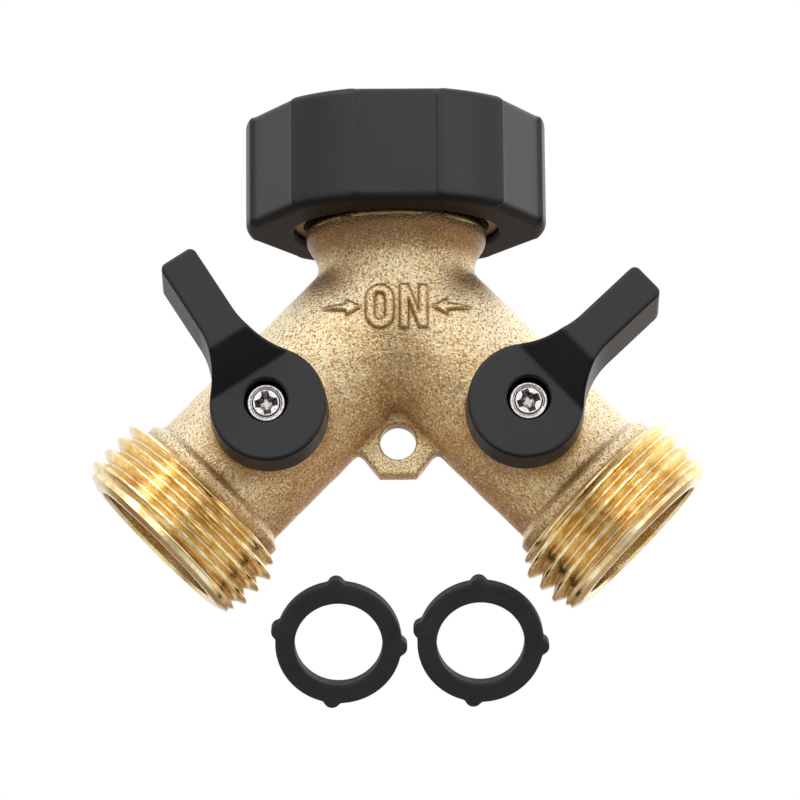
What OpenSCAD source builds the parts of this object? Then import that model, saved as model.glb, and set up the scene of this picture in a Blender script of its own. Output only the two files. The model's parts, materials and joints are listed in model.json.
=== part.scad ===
// Two-way garden hose splitter: a cast Y body with a swivelling inlet nut and a ball valve in each leg.
// Lengths are in millimetres. The origin is the middle of the inlet washer's top face, +Z points up into
// the tap, and -Y is the front, where the levers are.

/* [Hose thread] */
// Outside diameter of the male outlet threads
outlet_thread_d = 26.9; // [26.8:0.05:27]
// Inside diameter of the female inlet thread
inlet_thread_d = 24.6; // [24.55:0.05:24.7]
// Threads per inch
threads_per_inch = 11.5; // [11.5]

/* [Inlet nut] */
// Diameter over the grip's raised pads
grip_pad_d = 39.4; // [39:0.2:41]
// Width of the grip across its flats
grip_flat_w = 37.2; // [36.6:0.1:37.6]
// Height of the grip
grip_h = 14.8; // [14.6:0.1:15.2]
// Height of the grip's top above the washer's top face
grip_rise = 7.9; // [7.8:0.1:8.1]
// Diameter of the hole under the grip
grip_hole_d = 27; // [26.8:0.1:27.6]

/* [Body] */
// Angle of each leg from straight down
leg_angle = 45; // [44:0.5:46]
// Diameter of the legs
leg_d = 20.3; // [20.2:0.1:20.6]
// Distance from the junction to an outlet's end, along a leg
leg_length = 44.4; // [44.2:0.1:45]
// Distance from the junction to a valve's axis, along a leg
valve_distance = 23.3; // [23:0.1:23.5]
// Depth of the junction below the inlet washer's top face
junction_depth = 16.8; // [16.6:0.1:17.5]
// Diameter of the neck's waist
neck_d = 20.6; // [20.6:0.1:21]
// Diameter of the hole in the mounting tab
tab_hole_d = 4.7; // [4.2:0.1:4.8]

/* [Levers] */
// Diameter of a lever's hub
hub_d = 14.6; // [14.4:0.1:15]
// Distance from a valve's axis to its lever's tip
lever_reach = 20.7; // [18:0.1:20.7]
// Width of a lever's arm
arm_w = 5.4; // [4.8:0.1:5.4]
// Angle of the left lever, anticlockwise from straight up
left_heading = 32.5; // [-47:0.5:47]
// Angle of the right lever, anticlockwise from straight up
right_heading = -47; // [-47:0.5:47]

/* [Spare washers] */
// Outside diameter of a loose spare washer
spare_d = 16.3; // [15:0.1:18]
// Inside diameter of a loose spare washer
spare_hole_d = 11.3; // [10:0.1:12]

/* [Hidden] */
$fn = 96;
left = -1;
right = 1;
eps = 0.01;
slip = 0.04;          // radial clearance of parts that sit in one another
run = 0.08;           // radial clearance of parts that turn in one another
inch = 25.4;

// Hose thread: a 60 degree thread, cut flat at the crests and roots
pitch = inch / threads_per_inch;
thread_depth = 1.4;
flank = thread_depth * tan(30);
crest_w = (pitch - 2 * flank) / 2;
outlet_crest_r = outlet_thread_d / 2;
outlet_root_r = outlet_crest_r - thread_depth;
inlet_crest_r = inlet_thread_d / 2;
inlet_root_r = inlet_crest_r + 1.35;
inlet_first_crest = 0.1;
inlet_crest_count = 3;

// Inlet nut, by height
grip_top = grip_rise;
grip_bottom = grip_top - grip_h;
grip_pad_r = grip_pad_d / 2;
grip_apothem = grip_flat_w / 2;
grip_hole_r = grip_hole_d / 2;
pad_count = 6;
flat_half_angle = 15;
grip_turn = 1;
grip_top_round = 0.8;
grip_bottom_round = 1.2;
insert_flats_r = 15.2;
insert_corner_r = insert_flats_r / cos(30);
insert_top = grip_top - 0.4;
insert_bottom = grip_bottom + 0.9;
washer_t = 2.8;
washer_r = 12.15;
washer_hole_r = 8.4;
washer_ear_r = 1.7;
washer_ear_at = 11.6;
washer_ear_t = 2;

// Neck spigot, which turns inside the insert
spigot_top = -3;
insert_bore_r = 11.9;
spigot_r = insert_bore_r - run;
ring_top = -4.3;
ring_t = 1;
ring_in_r = 11;
ring_out_r = 12.9;
ring_gap_angle = 24;
spigot_groove_r = 10.9;
insert_groove_r = 13;

// Body casting
leg_r = leg_d / 2;
neck_r = neck_d / 2;
junction_z = -junction_depth;
neck_bore_r = 7;
passage_r = 5;
cavity_start = 16;
cavity_r = 8;
mouth_start = 36.4;
mouth_r = 9.5;
collar_r = 11.25;
collar_start = 33.9;
collar_ramp = 1.1;
thread_start = 34.9;
end_chamfer_l = 0.5;
end_face_r = 11.05;
first_crest = 35.9;
crest_count = 4;
tab_t = 3.6;
tab_hole_z = junction_z - 18.2;
tab_bottom_z = tab_hole_z - 4.5;
tab_corner_z = tab_hole_z - 1.55;
tab_top_z = tab_hole_z + 6;
tab_bottom_half_w = 2.4;
tab_half_w = 4.75;

// Valve stack, as heights above a leg's axis towards the front
ball_r = 7.3;
port_r = 4.75;
slot_w = 2.6;
slot_floor = 5.7;
tang_w = 2.5;
tang_l = 6;
flange_r = 4.4;
flange_bottom = ball_r + 0.1;
flange_top = 8.17;
pocket_r = 4.6;
pocket_top = 8.6;
thrust_bottom = flange_top + 0.02;
thrust_top = pocket_top - 0.02;
stem_hole_r = 3.5;
stem_r = stem_hole_r - 0.05;
oring_tube_r = 0.37;
oring_at_r = 3.125;
oring_groove_r = 2.74;
oring_groove_w = 0.9;
oring_heights = [9.9, 11.6];
boss_r = 7;
boss_top = 14.9;
stem_shoulder = boss_top - 0.1;
square_w = 4.6;
square_root = 0.2;
square_top = boss_top + 2;
tapped_r = 1.5;
tapped_bottom = 13.2;
lug_in_r = 4.7;
lug_out_r = 6.1;
lug_h = 1;
lug_half_angle = 12;
stop_travel = 90;

// Ball seats and their retainer, as distances from the valve's axis along the leg
seat_near = 4.6;
seat_far = valve_distance - cavity_start;
seat_pocket_r = ball_r + 0.02;
retainer_length = 5.6;
retainer_hole_r = 5.4;
retainer_slot_w = 2;
retainer_slot_depth = 1.5;

// Levers, as heights above the hub's underside
lever_base = boss_top + 0.2;
hub_r = hub_d / 2;
hub_back = 0.5;
hub_h = 6.6;
arm_h = 12.1;
ramp_foot = 3.75;
ramp_head = 8.1;
flare_r = 10;
tip_corner_r = 1;
socket_w = square_w + 2 * slip;
socket_h = square_top - lever_base + 0.1;
web_top = socket_h + 1;
counterbore_r = 2.78;
screw_clear_r = 1.65;
stop_pocket_in_r = lug_in_r - 0.25;
stop_pocket_out_r = lug_out_r + 0.3;
stop_pocket_h = lug_h + 0.3;
stop_pocket_half_angle = stop_travel / 2 + lug_half_angle + 2.5;

// Lever screw
shank_r = tapped_r - 0.02;
shank_bottom = tapped_bottom + 0.4;
head_r = 2.45;
head_t = 1.8;
head_bevel = 0.45;
head_bottom = lever_base + web_top;
cross_w = 0.75;
cross_l = 2.7;
cross_depth = 1;
left_cross_angle = 7;
right_cross_angle = 20;

// Raised direction mark on the front
mark_rise = 0.45;
mark_z = junction_z - 2.1;
letter_h = 5.6;
letter_w = 3.5;
letter_gap = 0.85;
stroke = 1.1;
arrow_inner = 4.6;
arrow_length = 4.9;
arrow_head_h = 2.1;
arrow_head_l = 1.9;
arrow_shaft_h = 0.9;
mark_depth = 4;

// Loose spare washers, leaning forwards below the legs
spare_t = 2.4;
spare_ear_r = 1.1;
spare_ear_at = spare_d / 2 - 0.38;
spare_ear_angles = [-4, 91.5, 166.5, 263];
spare_left_x = -7.9;
spare_right_x = 10.4;
spare_z = junction_z - 44.1;
spare_lean = 30;

// Local frame of a leg: Z runs out along the leg from the junction
module along_leg(side) {
    translate([0, 0, junction_z]) rotate([0, side * (180 - leg_angle), 0]) children();
}

// Local frame of a valve: Z runs out of the front along the stem, Y points up
module at_valve(side) {
    translate([side * valve_distance * sin(leg_angle), 0, junction_z - valve_distance * cos(leg_angle)])
        rotate([90, 0, 0]) children();
}

// A valve's frame turned with its lever, so that Y runs along the lever's arm
module with_lever(side) {
    heading = side == left ? left_heading : right_heading;
    at_valve(side) rotate([0, 0, heading]) children();
}

// Flat sector of a ring, centred on the direction opposite the Y axis
module ring_sector(r_in, r_out, half_angle) {
    reach = 2 * r_out;
    intersection() {
        difference() {
            circle(r_out);
            circle(r_in);
        }
        polygon([
            [0, 0],
            [-reach * sin(half_angle), -reach * cos(half_angle)],
            [0, -reach],
            [reach * sin(half_angle), -reach * cos(half_angle)]
        ]);
    }
}

// Ring with ears that keep it from falling out of a thread
module eared_ring(r_out, r_in, height, ear_r, ear_at, ear_t, ear_angles) {
    difference() {
        union() {
            cylinder(r = r_out, h = height);
            for (angle = ear_angles) rotate([0, 0, angle]) translate([ear_at, 0, 0]) cylinder(r = ear_r, h = ear_t);
        }
        translate([0, 0, -1]) cylinder(r = r_in, h = height + 2);
    }
}

// Points of a row of threads along a shaft or bore, as [radius, distance] pairs
function thread_points(crests, crest_r, root_r) = [
    for (at = crests) each [
        [root_r, at - crest_w / 2 - flank],
        [crest_r, at - crest_w / 2],
        [crest_r, at + crest_w / 2],
        [root_r, at + crest_w / 2 + flank]
    ]
];

// Outside of one leg, from the junction to its outlet
module leg_outside() {
    crests = [for (i = [0:crest_count - 1]) first_crest + i * pitch];
    rotate_extrude() polygon(concat(
        [[0, 0], [leg_r, 0], [leg_r, collar_start - collar_ramp], [collar_r, collar_start],
         [collar_r, thread_start], [outlet_root_r, thread_start]],
        thread_points(crests, outlet_crest_r, outlet_root_r),
        [[outlet_root_r, leg_length - end_chamfer_l], [end_face_r, leg_length], [0, leg_length]]
    ));
}

// Waterway of one leg: passage, valve cavity and open mouth
module leg_inside() {
    rotate_extrude() polygon([
        [0, 0], [passage_r, 0], [passage_r, cavity_start], [cavity_r, cavity_start],
        [cavity_r, mouth_start], [mouth_r, mouth_start], [mouth_r, leg_length + 1], [0, leg_length + 1]
    ]);
}

module neck_outside() {
    rotate_extrude() polygon([
        [0, junction_z - 4], [neck_r - 2, junction_z - 4], [neck_r, junction_z],
        [neck_r, junction_z + 5.6], [neck_r + 0.35, junction_z + 6.9], [neck_r + 1.3, junction_z + 8.4],
        [spigot_r, junction_z + 9.4], [spigot_r, ring_top - ring_t - 0.1],
        [spigot_groove_r, ring_top - ring_t - 0.1], [spigot_groove_r, ring_top + 0.1],
        [spigot_r, ring_top + 0.1], [spigot_r, spigot_top - 0.3], [spigot_r - 0.3, spigot_top], [0, spigot_top]
    ]);
}

module neck_inside() {
    rotate_extrude() polygon([
        [0, junction_z - 4], [neck_bore_r, junction_z], [neck_bore_r, spigot_top + 1], [0, spigot_top + 1]
    ]);
}

// Boss that guides the stem, with the lug that stops the lever
module valve_boss() {
    cylinder(r = boss_r, h = boss_top);
    translate([0, 0, boss_top - 1]) linear_extrude(lug_h + 1) ring_sector(lug_in_r, lug_out_r, lug_half_angle);
}

module stem_passage() {
    cylinder(r = pocket_r, h = pocket_top);
    cylinder(r = stem_hole_r, h = boss_top + 1);
}

// Mounting tab between the legs, drawn in the XZ plane
module tab() {
    translate([0, tab_t / 2, 0]) rotate([90, 0, 0]) linear_extrude(tab_t) polygon([
        [-tab_bottom_half_w, tab_bottom_z], [tab_bottom_half_w, tab_bottom_z], [tab_half_w, tab_corner_z],
        [tab_half_w, tab_top_z], [-tab_half_w, tab_top_z], [-tab_half_w, tab_corner_z]
    ]);
}

// Letter O as a rounded frame
module letter_o() {
    inner_w = letter_w - 2 * stroke;
    difference() {
        rounded_slot(letter_w, letter_h);
        rounded_slot(inner_w, letter_h - 2 * stroke);
    }
}

// Upright slot with round ends
module rounded_slot(width, height) {
    straight = height - width;
    for (end = [-1, 1]) translate([0, end * straight / 2]) circle(width / 2);
    square([width, straight], center = true);
}

module letter_n() {
    half_w = letter_w / 2;
    half_h = letter_h / 2;
    for (side = [-1, 1]) translate([side * (half_w - stroke / 2), 0]) square([stroke, letter_h], center = true);
    polygon([
        [-half_w, half_h], [-half_w + 1.15 * stroke, half_h], [half_w, -half_h], [half_w - 1.15 * stroke, -half_h]
    ]);
}

// Arrow that points along +X, with its tip at the origin
module arrow() {
    polygon([
        [0, 0], [-arrow_head_l, arrow_head_h / 2], [-arrow_head_l, arrow_shaft_h / 2],
        [-arrow_length, 0.1], [-arrow_length, -0.1],
        [-arrow_head_l, -arrow_shaft_h / 2], [-arrow_head_l, -arrow_head_h / 2]
    ]);
}

module mark_outline() {
    letter_x = (letter_w + letter_gap) / 2;
    translate([-letter_x, 0]) letter_o();
    translate([letter_x, 0]) letter_n();
    for (side = [0, 1]) mirror([side, 0]) translate([-arrow_inner, 0]) arrow();
}

// Raised mark, which follows the surface of the legs and neck
module direction_mark() {
    intersection() {
        translate([0, -neck_r + mark_depth - 1.5, mark_z]) rotate([90, 0, 0]) linear_extrude(mark_depth) mark_outline();
        union() {
            for (side = [left, right]) along_leg(side) cylinder(r = leg_r + mark_rise, h = cavity_start);
            translate([0, 0, junction_z - 2]) cylinder(r = neck_r + mark_rise, h = 6);
        }
    }
}

module y_body() color("burlywood") {
    difference() {
        union() {
            neck_outside();
            for (side = [left, right]) {
                along_leg(side) leg_outside();
                at_valve(side) valve_boss();
            }
            tab();
            direction_mark();
        }
        neck_inside();
        for (side = [left, right]) {
            along_leg(side) leg_inside();
            at_valve(side) stem_passage();
        }
        translate([0, tab_t, tab_hole_z]) rotate([90, 0, 0]) cylinder(d = tab_hole_d, h = 2 * tab_t);
    }
}

// Plan of the grip: raised round pads between shallow flats
module grip_plan() {
    pocket_w = 2 * grip_pad_r * sin(flat_half_angle);
    difference() {
        circle(grip_pad_r);
        for (i = [0:pad_count - 1]) rotate(i * 360 / pad_count - 90 + grip_turn)
            translate([grip_apothem, -pocket_w / 2]) square([grip_pad_r, pocket_w]);
    }
}

module nut_grip() color("#2b2b2e") {
    difference() {
        intersection() {
            translate([0, 0, grip_bottom]) linear_extrude(grip_h) grip_plan();
            rotate_extrude() polygon([
                [0, grip_bottom], [grip_pad_r - grip_bottom_round, grip_bottom],
                [grip_pad_r, grip_bottom + grip_bottom_round], [grip_pad_r, grip_top - grip_top_round],
                [grip_pad_r - grip_top_round, grip_top], [0, grip_top]
            ]);
        }
        translate([0, 0, insert_bottom]) cylinder(r = insert_corner_r + slip, h = grip_h, $fn = 6);
        translate([0, 0, grip_bottom - 1]) cylinder(r = grip_hole_r, h = grip_h);
    }
}

module nut_insert() color("goldenrod") {
    crests = [for (i = [0:inlet_crest_count - 1]) inlet_first_crest + i * pitch];
    difference() {
        translate([0, 0, insert_bottom + eps]) cylinder(r = insert_corner_r, h = insert_top - insert_bottom, $fn = 6);
        rotate_extrude() polygon(concat(
            [[0, insert_bottom - 1], [insert_bore_r, insert_bottom - 1], [insert_bore_r, ring_top - ring_t - 0.05],
             [insert_groove_r, ring_top - ring_t - 0.05], [insert_groove_r, ring_top + 0.05],
             [insert_bore_r, ring_top + 0.05], [insert_bore_r, spigot_top - 0.2], [inlet_root_r, spigot_top - 0.2]],
            thread_points(crests, inlet_crest_r, inlet_root_r),
            [[inlet_root_r, insert_top + 1], [0, insert_top + 1]]
        ));
    }
}

module nut_retaining_ring() color("darkkhaki") {
    translate([0, 0, ring_top - ring_t]) linear_extrude(ring_t) difference() {
        circle(ring_out_r);
        circle(ring_in_r);
        polygon([
            [0, 0], [ring_out_r + 2, -(ring_out_r + 2) * tan(ring_gap_angle / 2)],
            [ring_out_r + 2, (ring_out_r + 2) * tan(ring_gap_angle / 2)]
        ]);
    }
}

module inlet_washer() color("#303030") {
    translate([0, 0, spigot_top + eps])
        eared_ring(washer_r, washer_hole_r, washer_t - eps, washer_ear_r, washer_ear_at, washer_ear_t, [45:90:315]);
}

module ball(side) {
    with_lever(side) difference() {
        sphere(ball_r);
        rotate([90, 0, 0]) cylinder(r = port_r, h = 3 * ball_r, center = true);
        translate([0, 0, slot_floor + ball_r]) cube([3 * ball_r, slot_w, 2 * ball_r], center = true);
    }
}

// Seat ring on one side of the ball: towards the outlet (1) or the junction (-1)
module seat(side, towards) {
    along_leg(side) translate([0, 0, valve_distance]) difference() {
        mirror([0, 0, towards == 1 ? 0 : 1]) translate([0, 0, seat_near])
            cylinder(r = cavity_r - slip, h = seat_far - seat_near - eps);
        sphere(seat_pocket_r);
        cylinder(r = port_r, h = 3 * ball_r, center = true);
    }
}

module seat_retainer(side) {
    top = valve_distance + seat_far + retainer_length;
    along_leg(side) difference() {
        translate([0, 0, top - retainer_length]) cylinder(r = cavity_r - slip, h = retainer_length);
        translate([0, 0, top - retainer_length - 1]) cylinder(r = retainer_hole_r, h = retainer_length + 2);
        translate([0, 0, top]) cube([retainer_slot_w, 3 * cavity_r, 2 * retainer_slot_depth], center = true);
    }
}

module stem(side) {
    with_lever(side) difference() {
        union() {
            rotate_extrude() polygon(concat(
                [[0, flange_bottom], [flange_r, flange_bottom], [flange_r, flange_top], [stem_r, flange_top]],
                [for (h = oring_heights) each [
                    [stem_r, h - oring_groove_w / 2], [oring_groove_r, h - oring_groove_w / 2],
                    [oring_groove_r, h + oring_groove_w / 2], [stem_r, h + oring_groove_w / 2]
                ]],
                [[stem_r, stem_shoulder], [0, stem_shoulder]]
            ));
            translate([-tang_l / 2, -tang_w / 2, slot_floor + 0.1]) cube([tang_l, tang_w, flange_bottom - slot_floor]);
            translate([-square_w / 2, -square_w / 2, stem_shoulder - square_root])
                cube([square_w, square_w, square_top - stem_shoulder + square_root]);
        }
        translate([0, 0, tapped_bottom]) cylinder(r = tapped_r, h = square_top);
    }
}

module stem_orings(side) {
    with_lever(side) for (h = oring_heights)
        translate([0, 0, h]) rotate_extrude() translate([oring_at_r, 0]) circle(oring_tube_r, $fn = 32);
}

module thrust_washer(side) {
    with_lever(side) difference() {
        translate([0, 0, thrust_bottom]) cylinder(r = flange_r, h = thrust_top - thrust_bottom);
        cylinder(r = stem_hole_r, h = pocket_top + 1);
    }
}

// Plan of a lever: a round hub that flares into a straight arm. The hub's centre is just behind the pivot.
module lever_plan() {
    half_w = arm_w / 2;
    arm_end = lever_reach + hub_back;
    flare_x = half_w + flare_r;
    flare_y = sqrt(pow(hub_r + flare_r, 2) - pow(flare_x, 2));
    touch = hub_r / (hub_r + flare_r);
    translate([0, -hub_back]) {
        circle(hub_r);
        difference() {
            union() {
                polygon([
                    [0, 0], [touch * flare_x, touch * flare_y], [flare_x, flare_y], [half_w, flare_y],
                    [half_w, arm_end - tip_corner_r], [-half_w, arm_end - tip_corner_r], [-half_w, flare_y],
                    [-flare_x, flare_y], [-touch * flare_x, touch * flare_y]
                ]);
                translate([-half_w + tip_corner_r, flare_y])
                    square([arm_w - 2 * tip_corner_r, arm_end - flare_y]);
                for (x = [-1, 1]) translate([x * (half_w - tip_corner_r), arm_end - tip_corner_r])
                    circle(tip_corner_r);
            }
            for (x = [-1, 1]) translate([x * flare_x, flare_y]) circle(flare_r);
        }
    }
}

module lever(side) {
    with_lever(side) translate([0, 0, lever_base]) difference() {
        linear_extrude(arm_h) lever_plan();
        rotate([90, 0, 90]) linear_extrude(3 * hub_r, center = true) polygon([
            [-hub_r - 1, hub_h], [ramp_foot, hub_h], [ramp_head, arm_h], [ramp_head, arm_h + 1],
            [-hub_r - 1, arm_h + 1]
        ]);
        translate([-socket_w / 2, -socket_w / 2, -1]) cube([socket_w, socket_w, socket_h + 1]);
        cylinder(r = screw_clear_r, h = arm_h);
        translate([0, 0, web_top]) cylinder(r = counterbore_r, h = arm_h);
        translate([0, 0, -1]) linear_extrude(stop_pocket_h + 1)
            ring_sector(stop_pocket_in_r, stop_pocket_out_r, stop_pocket_half_angle);
    }
}

module lever_screw(side) {
    cross_angle = side == left ? left_cross_angle : right_cross_angle;
    at_valve(side) rotate([0, 0, cross_angle]) difference() {
        rotate_extrude() polygon([
            [0, shank_bottom], [shank_r, shank_bottom], [shank_r, head_bottom + eps], [head_r, head_bottom + eps],
            [head_r, head_bottom + head_t - head_bevel], [head_r - head_bevel, head_bottom + head_t],
            [0, head_bottom + head_t]
        ]);
        for (turn = [0, 90]) rotate([0, 0, turn]) translate([0, 0, head_bottom + head_t])
            cube([cross_l, cross_w, 2 * cross_depth], center = true);
    }
}

module spare_washer(x) {
    translate([x, 0, spare_z]) rotate([90 + spare_lean, 0, 0]) translate([0, 0, -spare_t / 2])
        eared_ring(spare_d / 2, spare_hole_d / 2, spare_t, spare_ear_r, spare_ear_at, spare_t, spare_ear_angles);
}

y_body();
nut_grip();
nut_insert();
nut_retaining_ring();
inlet_washer();
color("silver") ball(left);  // ball_left
color("silver") ball(right);  // ball_right
color("ivory") seat(left, -1);  // seat_inner_left
color("ivory") seat(right, -1);  // seat_inner_right
color("ivory") seat(left, 1);  // seat_outer_left
color("ivory") seat(right, 1);  // seat_outer_right
color("goldenrod") seat_retainer(left);  // seat_retainer_left
color("goldenrod") seat_retainer(right);  // seat_retainer_right
color("goldenrod") stem(left);  // stem_left
color("goldenrod") stem(right);  // stem_right
color("#202020") stem_orings(left);  // stem_orings_left
color("#202020") stem_orings(right);  // stem_orings_right
color("ivory") thrust_washer(left);  // thrust_washer_left
color("ivory") thrust_washer(right);  // thrust_washer_right
color("#2b2b2e") lever(left);  // lever_left
color("#2b2b2e") lever(right);  // lever_right
color("gainsboro") lever_screw(left);  // lever_screw_left
color("gainsboro") lever_screw(right);  // lever_screw_right
color("#3a3a3e") spare_washer(spare_left_x);  // spare_washer_left
color("#3a3a3e") spare_washer(spare_right_x);  // spare_washer_right
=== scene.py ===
"""Looks of the two-way hose splitter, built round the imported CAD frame.

Lengths are in millimetres until a mesh is made, unless a name says otherwise.
"""
import json
import math

import bmesh
import bpy
import numpy as np
from mathutils import Matrix, Vector


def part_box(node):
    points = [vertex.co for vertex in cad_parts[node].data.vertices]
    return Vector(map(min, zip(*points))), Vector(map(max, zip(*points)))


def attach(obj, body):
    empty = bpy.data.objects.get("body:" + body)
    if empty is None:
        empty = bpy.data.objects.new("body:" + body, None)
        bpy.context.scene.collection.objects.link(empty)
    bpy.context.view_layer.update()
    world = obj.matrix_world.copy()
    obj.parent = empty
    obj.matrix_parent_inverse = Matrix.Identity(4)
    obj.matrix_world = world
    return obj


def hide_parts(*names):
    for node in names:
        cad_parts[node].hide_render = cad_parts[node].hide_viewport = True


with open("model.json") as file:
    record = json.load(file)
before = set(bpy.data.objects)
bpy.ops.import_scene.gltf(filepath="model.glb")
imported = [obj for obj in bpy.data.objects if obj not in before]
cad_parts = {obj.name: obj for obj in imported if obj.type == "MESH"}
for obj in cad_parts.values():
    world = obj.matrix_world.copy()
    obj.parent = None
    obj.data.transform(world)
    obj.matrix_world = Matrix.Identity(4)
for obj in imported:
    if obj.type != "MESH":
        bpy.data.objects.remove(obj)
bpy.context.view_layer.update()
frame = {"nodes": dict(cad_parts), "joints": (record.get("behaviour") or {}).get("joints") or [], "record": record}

MM = 0.001
INCH = 25.4
SQRT3 = math.sqrt(3)

# ---------------------------------------------------------------- places taken from the frame
mounts = {mount["name"]: mount for mount in frame["record"]["mounts"]}
joints = {joint["name"]: joint for joint in frame["joints"]}


def box_mm(node):
    """Lowest and highest corner of a CAD node, in millimetres."""
    low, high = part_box(node)
    return np.array(low) / MM, np.array(high) / MM


SIDES = {"left": -1, "right": 1}
LEG_ANGLE = math.radians(45)
SIN, COS = math.sin(LEG_ANGLE), math.cos(LEG_ANGLE)
right_pivot = np.array(joints["right_lever_turn"]["pos_m"]) / MM
right_mouth = np.array(mounts["outlet_thread_right"]["pos_m"]) / MM
JUNCTION_Z = right_mouth[2] + right_mouth[0] * COS / SIN
THREAD_MID = right_mouth[0] / SIN
CREST_R = mounts["outlet_thread_right"]["dims"]["r_mm"]
TAB_HOLE_Z = mounts["tab_hole"]["pos_m"][2] / MM
TAB_HOLE_R = mounts["tab_hole"]["dims"]["r_mm"]
GRIP_LOW, GRIP_HIGH = box_mm("nut_grip")[0][2], box_mm("nut_grip")[1][2]

# ---------------------------------------------------------------- sizes of the hose thread
THREADS_PER_INCH = 11.5
PITCH = INCH / THREADS_PER_INCH
THREAD_DEPTH = 1.4
FLANK_SLOPE = math.tan(math.radians(30))
CREST_COUNT = 4
FIRST_CREST = THREAD_MID - (CREST_COUNT - 1) / 2 * PITCH
THREAD_LEAD = {"left": 0.0, "right": PITCH / 2}
ROOT_R = CREST_R - THREAD_DEPTH

# ---------------------------------------------------------------- sizes of the body
LEG_R = 10.15
NECK_R = 10.3
NECK_BORE_R = 7.0
NECK_FLARE = 1.5
NECK_FLARE_START = 5.2
NECK_FLARE_L = 3.8
NECK_TOP = 10.2
PASSAGE_R = 5.0
CAVITY_START = 16.0
CAVITY_R = 8.0
MOUTH_START = 36.4
MOUTH_R = 9.5
COLLAR_START = 33.9
COLLAR_RAMP = 1.1
COLLAR_R = 11.25
THREAD_START = 34.9
LEG_END = 44.4
END_FACE_R = 11.05
END_LAND_R = 12.4
END_LAND_L = 1.3
BOSS_R = 7.0
BOSS_TOP = 14.9
LUG_IN_R = 4.7
LUG_OUT_R = 6.1
LUG_H = 1.0
LUG_HALF_ANGLE = math.radians(12)
STEM_BORE_R = 3.5
FLANGE_POCKET_R = 4.6
FLANGE_POCKET_DEPTH = 8.6
SPIGOT_R = 11.82
SPIGOT_TOP = -3.0
TAB_T = 3.6

# ---------------------------------------------------------------- sizes of the levers and screws
HEADINGS = {"left": math.radians(32.5), "right": math.radians(-47)}
LEVER_BASE = BOSS_TOP + 0.2
HUB_R = 7.3
HUB_BACK = 0.5
HUB_H = 6.6
ARM_H = 12.1
ARM_HALF_W = 2.7
LEVER_REACH = 20.7
TIP_R = 1.1
RAMP_FOOT = 3.75
RAMP_HEAD = 8.1
FLARE_R = 10.0
LEVER_DRAFT = math.tan(math.radians(2.4))
SOCKET_HALF_W = 2.34
SOCKET_H = 1.9
COUNTERBORE_R = 2.78
SCREW_SEAT = 2.9
SCREW_HOLE_R = 1.65
STOP_IN_R = 4.45
STOP_OUT_R = 6.4
STOP_H = 1.3
STOP_HALF_ANGLE = math.radians(59.5)
HEAD_R = 2.5
HEAD_T = 1.8
SHANK_R = 1.48
SHANK_L = 4.4
SCREW_TURN = {"left": math.radians(7), "right": math.radians(20)}

# ---------------------------------------------------------------- sizes of the nut and washers
GRIP_PAD_R = 19.7
GRIP_APOTHEM = 18.6
GRIP_HOLE_R = 13.5
GRIP_LEDGE = 0.9
GRIP_FLAT_HALF = math.radians(15)
GRIP_TURN = math.radians(1)
INSERT_APOTHEM = 15.2
INSERT_CREST_R = 12.3
INSERT_ROOT_R = 13.65
INSERT_BORE_R = 11.9
SPARE_OUT_R = 8.15
SPARE_HOLE_R = 5.65
SPARE_T = 2.4
SPARE_EAR_R = 1.1
SPARE_EAR_AT = SPARE_OUT_R - 0.38
SPARE_EARS_DEG = (-4, 91.5, 166.5, 263)
SPARE_X = {"left": -7.9, "right": 10.4}
SPARE_Z = JUNCTION_Z - 44.1
SPARE_LEAN = math.radians(30)
INLET_WASHER_OUT_R = 12.15
INLET_WASHER_HOLE_R = 8.4
INLET_EAR_R = 1.7
INLET_EAR_AT = 11.6
INLET_EAR_T = 2.0
INLET_EARS_DEG = (45, 135, 225, 315)


# ---------------------------------------------------------------- signed distance building blocks
FAR = 1e9
TINY = 1e-9


def mix_min(a, b, radius):
    """Union of two fields with a fillet of about that radius."""
    h = np.clip(0.5 + 0.5 * (b - a) / radius, 0, 1)
    return b + (a - b) * h - radius * h * (1 - h)


def mix_max(a, b, radius):
    """Intersection of two fields with a softened edge."""
    return -mix_min(-a, -b, radius)


def round_max(a, b, radius):
    """Intersection of two fields with an edge rounded to that radius."""
    outside = np.hypot(np.maximum(a + radius, 0), np.maximum(b + radius, 0))
    return np.minimum(np.maximum(a, b), -radius) + outside


def smooth_step(t):
    """Rises from 0 to 1, level at both ends."""
    t = np.clip(t, 0, 1)
    return t * t * (3 - 2 * t)


def polygon_distance(u, v, points):
    """Signed distance to a closed outline, negative inside it."""
    nearest = FAR
    inside = -1.0
    for (ax, ay), (bx, by) in zip(points, points[1:] + points[:1]):
        ex, ey = bx - ax, by - ay
        t = np.clip(((u - ax) * ex + (v - ay) * ey) / (ex * ex + ey * ey), 0, 1)
        nearest = np.minimum(nearest, np.hypot(u - ax - t * ex, v - ay - t * ey))
        crosses = (v < ay) != (v < by)
        beyond = u < ax + (v - ay) * ex / (ey if ey else TINY)
        inside = inside * np.where(crosses & beyond, -1.0, 1.0)
    return -inside * nearest


# ---------------------------------------------------------------- meshes from fields
CORNERS = np.array([[i, j, k] for i in (0, 1) for j in (0, 1) for k in (0, 1)])
EDGES = [(a, b) for a in range(8) for b in range(a + 1, 8) if np.abs(CORNERS[a] - CORNERS[b]).sum() == 1]
PULL_ROUNDS = 3
SLOPE_SAMPLE = 0.05
FLATTEST_SLOPE = 1e-4
LONGEST_PULL = 0.5


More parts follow.
